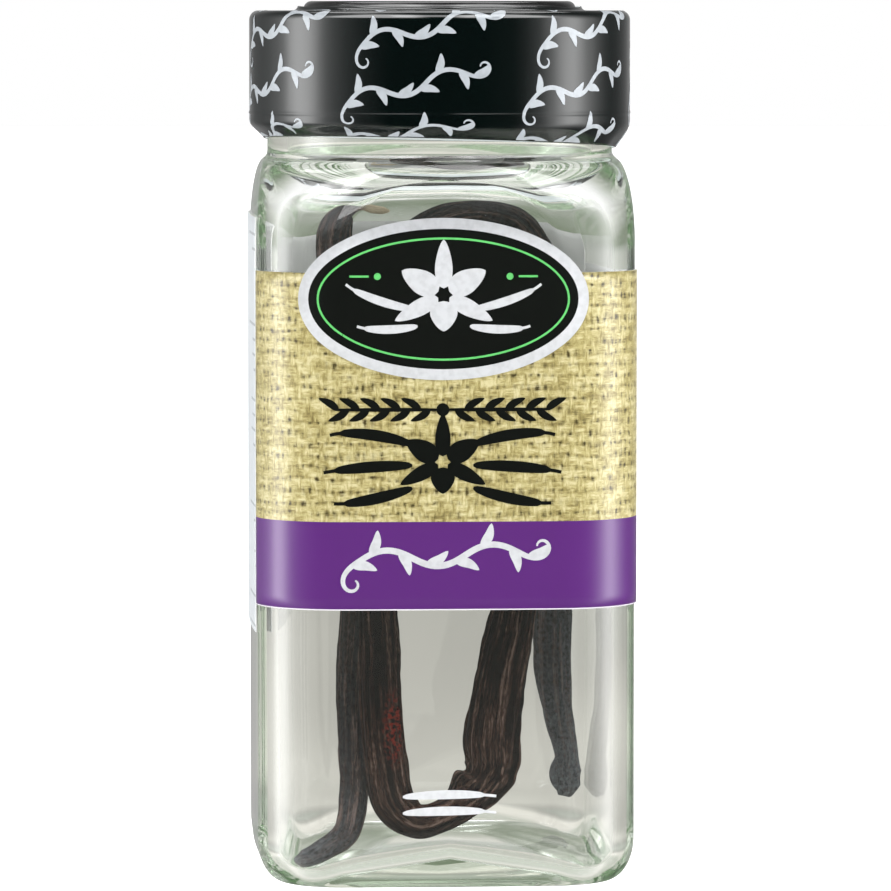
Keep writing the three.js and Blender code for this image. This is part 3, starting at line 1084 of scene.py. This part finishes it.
def makeBadge():
    b = badge
    middle = Vector((b["shift"], b["centre"]))
    bm = bmesh.new()
    addOval(bm, middle, b["width"], b["height"], 0, 96)
    plate = layOnWall(bm, "badgePlate", [whiteInk, backing], b["lift"])
    thicken(plate, b["thickness"])
    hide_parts("badge")

    bm = bmesh.new()
    inner = Vector((b["width"], b["height"])) - 2 * Vector((b["border"], b["border"]))
    addOval(bm, middle, inner.x, inner.y, 0, 96)
    reach = inner / 2 - Vector((b["ruleGap"], b["ruleGap"]))
    addStroke(bm, [middle + heading(t * 360) * reach for t in shares(96, 0)], lambda t: b["pen"], 2)
    addBlossom(bm, middle + Vector((0, 0.5 * mm)), b["blossom"], 1)
    for side in (-1, 1):
        for x, y, drop, length in b["pods"]:
            start = middle + Vector((side * x * mm, y * mm))
            addPodShape(bm, start, 90 - side * drop, length * mm, 1.0 * mm, side * 30, 1)
        addOval(bm, middle + Vector((side * 7.6 * mm, 2.6 * mm)), 0.8 * mm, 0.8 * mm, 2)
        line = [middle + Vector((side * x * mm, 2.6 * mm)) for x in b["dash"]]
        addStroke(bm, line, lambda t: b["pen"], 2)
    layOnWall(bm, "badgePrint", [blackInk, whiteInk, greenInk], b["lift"] + 0.01 * mm)


makeTitleOrnament()
makeBandScroll()
makeGlassPrint()
makeBadge()
print("prints made")


# Each row is a point of a pod's middle line and its width there: x, y, z, width, in mm.
frontPod = {
    "flatness": 0.68,
    "seed": 11,
    "line": [
        [-6.2, -5.8, 78.5, 0.9], [-8.3, -6.3, 78.8, 1.1], [-10, -6.8, 79.3, 0.9], [-12.2, -7.2, 79, 3.2],
        [-12.9, -7.4, 76.6, 4.3], [-12.7, -7.6, 72, 4.4],
        [-12.1, -8, 64, 4.4], [-10.6, -10, 52, 4.4], [-9.2, -11, 40, 4.2], [-8, -11.6, 31.4, 4.4],
        [-7.7, -11.8, 21.6, 4.8], [-7, -11.8, 13.6, 5], [-5.9, -11.8, 9, 4.9], [-3.4, -11.8, 6.9, 4],
        [-0.6, -11.5, 7.5, 3.6], [2.2, -11, 9, 3.8], [4.4, -10.5, 10.8, 4.6], [5.5, -10.2, 13, 6],
        [5.5, -10, 16, 6.3], [6.1, -9.4, 20.6, 5.9], [7.1, -8.8, 26.2, 5.7], [8.2, -8.2, 31.4, 5],
        [8.6, -6.8, 44, 4.8], [8.3, -5.5, 56, 4.5], [7.8, -4.6, 67, 4], [7.4, -4, 73, 2.6],
    ],
    # Folds in the skin: towards which point, in mm, how far along the pod and how much they rise.
    "folds": [[1.9, -11.6, 11.6, 1.7, 1.5], [7.6, -11.6, 12.4, 0.5, -0.45]],
    "bloom": [(0, 0.3), (0.12, 0.25), (0.3, 0), (1, 0)],  # painted light: a pale haze over the skin, by share of its length
}
backPod = {
    "flatness": 0.7,
    "seed": 29,
    "line": [
        [-17.6, -15, 3, 1.9], [-16, -15, 3.1, 2.3], [-13.8, -14, 4.2, 2.7], [-11.6, -11.6, 5.8, 3],
        [-10.6, -8.8, 9.6, 3.2], [-10.4, -6.6, 15, 3.8], [-10.3, -4.8, 22, 4.3], [-9.4, -2.6, 32, 4.7],
        [-7.8, 0.4, 44, 4.9], [-6, 3.2, 56, 4.9], [-4.9, 5.2, 67, 4.8], [-3.1, 6.1, 73.6, 4.7],
        [0.6, 6.9, 77.1, 4.6], [4.8, 7.6, 78.2, 4.6], [8.8, 8.3, 77, 4.7], [11.6, 9.2, 73, 4.8],
        [13.3, 10.2, 66, 4.8], [14.1, 11.2, 54, 4.8], [14.4, 11.6, 42, 5], [14.7, 12, 29, 5.3],
        [14.9, 12.2, 22, 5.1], [15.6, 12.4, 15.9, 4.2], [16.6, 12.5, 11.8, 3.9], [16.6, 12.6, 9.5, 5.3],
        [17.1, 12.7, 7.8, 4.3], [17.4, 12.8, 6.7, 2.6],
    ],
    "folds": [],
    # painted light: a pale haze over the skin, strongest at both ends
    "bloom": [(0, 0.8), (0.04, 0.4), (0.09, 0.22), (0.38, 0.24), (0.55, 0.27), (0.75, 0.32),
              (0.92, 0.6), (1, 1.1)],
}
podLook = {
    "sides": 72,
    "rings": 460,
    # The skin's relief: how fine it is round the pod, its length in mm and its height by the half width.
    "ribs": (2.3, 20, 0.13),
    "wrinkles": [(5.5, 6, 0.075), (2.5, 1.4, 0.032), (0.8, 6, 0.05)],
    "blunt": 0.9,  # mm from an end over which it rounds off
    "dryEnd": (2.4, 5.2),  # mm from the stem's tip, over which straw turns to skin
    # The skin's streaks, its fine grain and its patches: across, along and detail.
    "grain": [(1.7, 0.08, 4), (7.0, 1.6, 4), (2.2, 2.2, 5)],
    # the skin's tones, from the painted shade of its grooves to the painted highlight of its crests
    "skin": [(0.58, "#020101"), (0.69, "#130907"), (0.79, "#39271f"), (0.91, "#756158")],
    "straw": [(0.5, "#bfae8c"), (0.9, "#eee2c8")],
    # the colour of the painted haze of light
    "haze": "#71767a",
    "rust": "#6e2318",
    # Turns metres to mm from the middle of a torn, rust-red spot low on the front pod, squeezed upright.
    "rustSpot": {"Location": (6.1, 13.4, -5.6), "Scale": (1000, 1000, 310)},
}


# A smooth line through points, spaced so that close points don't make it overshoot.
def centripetal(points, t):
    at = t * (len(points) - 1)
    i = min(len(points) - 2, int(at))
    p1, p2 = points[i], points[i + 1]
    p0 = points[i - 1] if i > 0 else p1 * 2 - p2
    p3 = points[i + 2] if i + 2 < len(points) else p2 * 2 - p1
    k = at - i
    d0, d1, d2 = [max(1e-4, (b - a).length) ** 0.5 for a, b in ((p0, p1), (p1, p2), (p2, p3))]
    m1 = ((p1 - p0) / d0 - (p2 - p0) / (d0 + d1) + (p2 - p1) / d1) * d1
    m2 = ((p2 - p1) / d1 - (p3 - p1) / (d1 + d2) + (p3 - p2) / d2) * d1
    return (p1 + m1 * k + (m1 * -2 - m2 + (p2 - p1) * 3) * k * k
            + (m1 + m2 - (p2 - p1) * 2) * k ** 3)


# The value at t of a line through (position, value) pairs.
def between(pairs, t):
    for (low, start), (high, end) in zip(pairs, pairs[1:]):
        if t <= high:
            return mix(start, end, (t - low) / (high - low))
    return pairs[-1][1]


def podSkin():
    # Cured vanilla pod: leathery, nearly black brown skin, ribbed along its length and slightly oily,
    # with a dry straw-brown stem end. Its tone is painted highlight and shade, paler on the ribs' crests
    # and darker in the grooves, and a pale haze laid over parts of it is painted light.
    look = podLook
    material, tree = newMaterial("podSkin")
    space, dryness, bloom = [addNode(tree, "Attribute", {"attribute_name": name})
                             for name in ("podSpace", "dryness", "bloom")]
    layers = []
    for across, along, detail in look["grain"]:
        laid = addNode(tree, "Mapping", {"Scale": (across, across, along), "Vector": space.outputs["Vector"]})
        layers.append(addNode(tree, "TexNoise", {"Scale": 1.0, "Detail": detail, "Roughness": 0.6,
                                                 "Vector": laid}))
    streaks, fine, patches = layers
    both = addNode(tree, "Math MULTIPLY_ADD", {0: fine, 1: 0.45, 2: streaks})
    # painted highlight and shade: the tone follows the noises that also raise the ribs in the bump, so the
    # crests are paler and the grooves darker, on the skin and on the straw end
    skin = addNode(tree, "ValToRGB", {"Fac": both, "stops": look["skin"]})
    straw = addNode(tree, "ValToRGB", {"Fac": both, "stops": look["straw"]})
    patchy = addNode(tree, "MapRange", {"From Min": 0.3, "From Max": 0.68, "To Min": 0.2, "To Max": 1.1,
                                        "Value": patches})
    # painted light: a pale, patchy haze laid over the skin, as strong as the pod's haze attribute says
    haze = addNode(tree, "Math MULTIPLY", {0: bloom.outputs["Fac"], 1: patchy})
    place = addNode(tree, "TexCoord")
    spot = addNode(tree, "Mapping", {**look["rustSpot"], "Vector": place.outputs["Object"]})
    distance = addNode(tree, "VectorMath LENGTH", {0: spot})
    near = addNode(tree, "MapRange", {"From Min": 1.6, "From Max": 0.8, "Value": distance})
    torn = addNode(tree, "MapRange", {"From Min": 0.5, "From Max": 0.56, "Value": patches})
    rust = addNode(tree, "Math MULTIPLY", {0: near, 1: torn})
    colour = skin
    for share, over in ((haze, look["haze"]), (dryness.outputs["Fac"], straw), (rust, look["rust"])):
        colour = addNode(tree, "Mix", {"data_type": "RGBA", 0: share, 6: colour, 7: over})
    gloss = addNode(tree, "MapRange", {"To Min": 0.62, "To Max": 0.36, "Value": streaks})
    ridges = addNode(tree, "Math MULTIPLY_ADD", {0: streaks, 1: 1.6, 2: fine})
    relief = addNode(tree, "Math MULTIPLY_ADD", {0: patches, 1: 0.8, 2: ridges})
    bump = addNode(tree, "Bump", {"Strength": 0.9, "Distance": 0.32 * mm, "Height": relief})
    fillShader(tree, {"IOR": 1.46, "Specular IOR Level": 0.07, "Base Color": colour, "Roughness": gloss,
                      "Normal": bump})
    return material


podMaterial = podSkin()


def makePod(name, pod, node, stemFirst):
    look = podLook
    rows = pod["line"]
    points = [Vector(row[:3]) for row in rows]
    rings = look["rings"]
    middles = [centripetal(points, i / rings) for i in range(rings + 1)]
    lengths = [0.0]
    for a, b in zip(middles, middles[1:]):
        lengths.append(lengths[-1] + (b - a).length)
    total = lengths[-1]
    shift = Vector((pod["seed"], pod["seed"] * 2.3, 0))

    def widthAt(t):
        at = t * (len(rows) - 1)
        i = min(len(rows) - 2, int(at))
        return mix(rows[i][3], rows[i + 1][3], smoothStep(at - i))

    folds = []
    for x, y, z, length, rise in pod["folds"]:
        tip = Vector((x, y, z))
        nearest = min(range(rings + 1), key=lambda i: (middles[i] - tip).length)
        folds.append(((tip - middles[nearest]).normalized(), lengths[nearest], length, rise))

    frames = []
    for i in range(rings + 1):
        along = (middles[min(rings, i + 1)] - middles[max(0, i - 1)]).normalized()
        wide = along.cross(Vector((0, 1, 0))).normalized()
        frames.append((wide, along.cross(wide).normalized()))

    def place(u, v):
        i = round(v * rings)
        a = u * 2 * pi
        wide, thin = frames[i]
        s = lengths[i]
        around = outward(a)

        def relief(fineness, length):
            return noise.noise(Vector((around.x * fineness, around.y * fineness, s / length)) + shift)

        # ribs are the sharp crests where their noise changes sign
        fineness, length, height = look["ribs"]
        size = 1 + height * (0.6 - 2.4 * abs(relief(fineness, length)))
        size += sum(height * relief(fineness, length) for fineness, length, height in look["wrinkles"])
        size *= min(1.0, (min(s, total - s) / look["blunt"]) ** 0.5)
        reach = widthAt(v) / 2 * max(0.0, size)
        p = middles[i] + wide * reach * cos(a) + thin * reach * pod["flatness"] * sin(a)
        out = (p - middles[i]).normalized()
        for toward, at, length, rise in folds:
            side = max(0.0, out.dot(toward)) ** 1.5
            p += out * rise * side * exp(-((s - at) / length) ** 2)
        return p * mm

    bm = gridSurface(look["sides"], rings, place, closed=True)
    space = bm.verts.layers.float_vector.new("podSpace")
    dryness = bm.verts.layers.float.new("dryness")
    bloom = bm.verts.layers.float.new("bloom")
    finder = kdtree.KDTree(len(middles))
    for i, p in enumerate(middles):
        finder.insert(p * mm, i)
    finder.balance()
    for vert in bm.verts:
        middle, i, _ = finder.find(vert.co)
        out = (vert.co - middle) / mm
        vert[space] = (out.dot(frames[i][0]), out.dot(frames[i][1]), lengths[i])
        vert[dryness] = 1 - smoothStep(lengths[i], *look["dryEnd"]) if stemFirst else 0.0
        vert[bloom] = between(pod["bloom"], lengths[i] / total)
    finishPiece(name, bm, [podMaterial], [node])


makePod("frontPod", frontPod, "pod_front", True)
makePod("backPod", backPod, "pod_back", False)
print("pods made")


studio = {
    "floorRadius": 5.0,
    "floorDrop": 0.2 * mm,  # keeps the table just clear of the foot
    "floorColour": "#f2f2f0",
    "floorGlow": 0.85,
    "front": 0.035,  # the room in front of the jar is dark, so its flat front mirrors nothing
    "behind": [(0.0, 0.0), (0.7, 0.12), (0.9, 0.26), (1.0, 0.38)],  # brighter towards straight behind
    "upper": 9.0,  # two soft boxes high in front, mirrored by the jar's shoulder
    # Where the boxes fade, by how far a ray goes up, up again, to the rear and aside.
    "boxEdges": [(0.36, 0.5), (0.95, 0.84), (-0.05, -0.3), (0.08, 0.3)],
    "boxShare": 0.5,  # of the boxes' light, beside the sides' lights, in what shows through the glass
    "glassShare": 0.15,  # of all these lights in what shows through the glass
    "glowReach": 60,  # degrees from the middle of a side's light to its end
    "glowStretch": 0.4,  # how much a side's light is squeezed upright before that is measured
    "aim": (0, 0, 0.05),
    # Each lamp's name, place, size and power in watts.
    "lights": [("topFront", (-0.1, -0.75, 0.95), (0.9, 0.5), 8.0),
               ("overhead", (0.0, 0.35, 0.95), (0.9, 0.6), 6.0)],
    "bounces": 128,  # thick glass keeps rays for long, and one that is cut short comes out black
    "clearBounces": 16,
}

# Each side's light: degrees round from the camera's side, the share of it that matt surfaces get, and
# its strength by the degrees from its middle.
sideLights = [
    (-91, 0.28, [(0, 7.0), (6, 6.5), (10, 4.9), (14, 3.1), (18, 1.8), (24, 1.1), (30, 0.7), (36, 0.42),
                 (45, 0.2), (55, 0.05), (60, 0)]),
    (86, 1.35, [(0, 6.4), (4, 6.1), (8, 4.9), (12, 3.3), (16, 2.2), (20, 1.45), (24, 0.9), (28, 0.5),
                (34, 0.2), (40, 0.05), (60, 0)]),
]

# What shows through the glass, by how steeply a ray goes down (-1) or up.
tableTones = [
    (-1.0, "#d4dacd"), (-0.8, "#dde1d6"), (-0.62, "#f4f3ea"), (-0.48, "#d3d6ca"), (-0.28, "#cfd2c6"),
    (-0.22, "#f0eee4"), (-0.15, "#f0eee4"), (-0.117, "#cfcec5"), (-0.095, "#bab9b1"), (-0.07, "#b4b7ae"),
    (-0.03, "#c4c8be"), (0.05, "#abb1a6"), (0.13, "#848f7b"), (0.22, "#86907d"), (0.3, "#a7ada1"),
    (0.42, "#c9cdc3"), (0.6, "#ffffff"),
]


def lightTable():
    # Frosted acrylic over a light box, as product tables have: matt, and evenly bright from below.
    material, tree = newMaterial("lightTable")
    fillShader(tree, {"Base Color": studio["floorColour"], "Roughness": 0.7,
                      "Emission Color": (1, 1, 1, 1), "Emission Strength": studio["floorGlow"]})
    return material


def makeStage():
    bm = bmesh.new()
    bmesh.ops.create_circle(bm, cap_ends=True, radius=studio["floorRadius"], segments=96)
    floor = meshObject("floor", bm, [lightTable()])
    floor.location.z = -studio["floorDrop"]
    floor.visible_transmission = False
    floor.visible_glossy = False


def makeLights():
    for name, place, size, power in studio["lights"]:
        data = bpy.data.lights.new(name, "AREA")
        data.shape = "RECTANGLE"
        data.size, data.size_y = size
        data.energy = power
        light = newObject(name, data)
        light.location = place
        light.rotation_euler = (Vector(studio["aim"]) - light.location).to_track_quat("-Z", "Y").to_euler()
        light.visible_camera = False


# A soft light far off to one side: its strength by the angle from its middle, stretched upright.
def sideGlow(tree, direction, toward, stops):
    tall = addNode(tree, "VectorMath MULTIPLY", {0: direction, 1: (1, 1, studio["glowStretch"])})
    unit = addNode(tree, "VectorMath NORMALIZE", {0: tall})
    share = addNode(tree, "VectorMath DOT_PRODUCT", {0: unit, 1: toward})
    angle = addNode(tree, "Math ARCCOSINE", {0: share})
    reach, peak = studio["glowReach"], stops[0][1]
    part = addNode(tree, "Math DIVIDE", {0: angle, 1: radians(reach)})
    levels = [(at / reach, grey(value / peak)) for at, value in stops]
    ramp = addNode(tree, "ValToRGB", {"Fac": part, "stops": levels})
    return addNode(tree, "Math MULTIPLY", {0: ramp, 1: peak})


def makeWorld():
    world = bpy.data.worlds.new("studioWorld")
    scene.world = world
    world.use_nodes = True
    tree = world.node_tree
    rays = addNode(tree, "LightPath")
    place = addNode(tree, "TexCoord")
    direction = place.outputs["Generated"]
    turn = radians(cameraView["turn"])
    glows = []
    for angle, matt, stops in sideLights:
        a = radians(angle) + turn
        glow = sideGlow(tree, direction, (sin(a), -cos(a), 0), stops)
        spread = addNode(tree, "MapRange", {"To Min": 1.0, "To Max": matt,
                                            "Value": rays.outputs["Is Diffuse Ray"]})
        glows.append(addNode(tree, "Math MULTIPLY", {0: glow, 1: spread}))
    both = addNode(tree, "Math ADD", {0: glows[0], 1: glows[1]})
    parts = addNode(tree, "SeparateXYZ", {0: direction})
    rise = parts.outputs["Z"]
    across, rear = [addNode(tree, "VectorMath DOT_PRODUCT", {0: direction, 1: axis})
                    for axis in (outward(turn), outward(turn + quarter))]
    levels = [(at, grey(value)) for at, value in studio["behind"]]
    wall = addNode(tree, "ValToRGB", {"Fac": rear, "stops": levels})
    card = addNode(tree, "Math ADD", {0: wall, 1: studio["front"]})
    level = addNode(tree, "Math ADD", {0: both, 1: card})

    # the soft boxes, mirrored and seen through the glass, end softly at each of their sides
    aside = addNode(tree, "Math ABSOLUTE", {0: across})
    share = None
    for value, (low, high) in zip((rise, rise, rear, aside), studio["boxEdges"]):
        step = addNode(tree, "MapRange", {"interpolation_type": "SMOOTHSTEP", "From Min": low,
                                          "From Max": high, "Value": value})
        share = addNode(tree, "Math MULTIPLY", {0: share, 1: step}) if share else step
    upper = addNode(tree, "Math MULTIPLY", {0: share, 1: studio["upper"]})
    mirrored = addNode(tree, "Math MULTIPLY", {0: upper, 1: rays.outputs["Is Glossy Ray"]})
    room = addNode(tree, "Math ADD", {0: level, 1: mirrored})

    low, high = -1.0, 0.75
    height = addNode(tree, "MapRange", {"From Min": low, "From Max": high, "Value": rise})
    levels = [((z - low) / (high - low), tone) for z, tone in tableTones]
    table = addNode(tree, "ValToRGB", {"Fac": height, "stops": levels})
    lights = addNode(tree, "Math MULTIPLY_ADD", {0: upper, 1: studio["boxShare"], 2: both})
    sides = addNode(tree, "Math MULTIPLY", {0: lights, 1: studio["glassShare"]})
    through = addNode(tree, "Mix", {"data_type": "RGBA", "blend_type": "ADD", 0: 1.0, 6: table, 7: sides})
    seen = room
    for ray, other in (("Is Transmission Ray", through), ("Is Camera Ray", (1, 1, 1, 1))):
        seen = addNode(tree, "Mix", {"data_type": "RGBA", 0: rays.outputs[ray], 6: seen, 7: other})
    fillNode(tree.nodes["Background"], {"Color": seen})


def setView():
    scene.view_settings.view_transform = "Standard"
    scene.view_settings.look = "None"
    cycles = scene.cycles
    cycles.max_bounces = cycles.glossy_bounces = cycles.transmission_bounces = studio["bounces"]
    cycles.transparent_max_bounces = studio["clearBounces"]


makeStage()
makeLights()
makeWorld()
setView()
print("stage made")
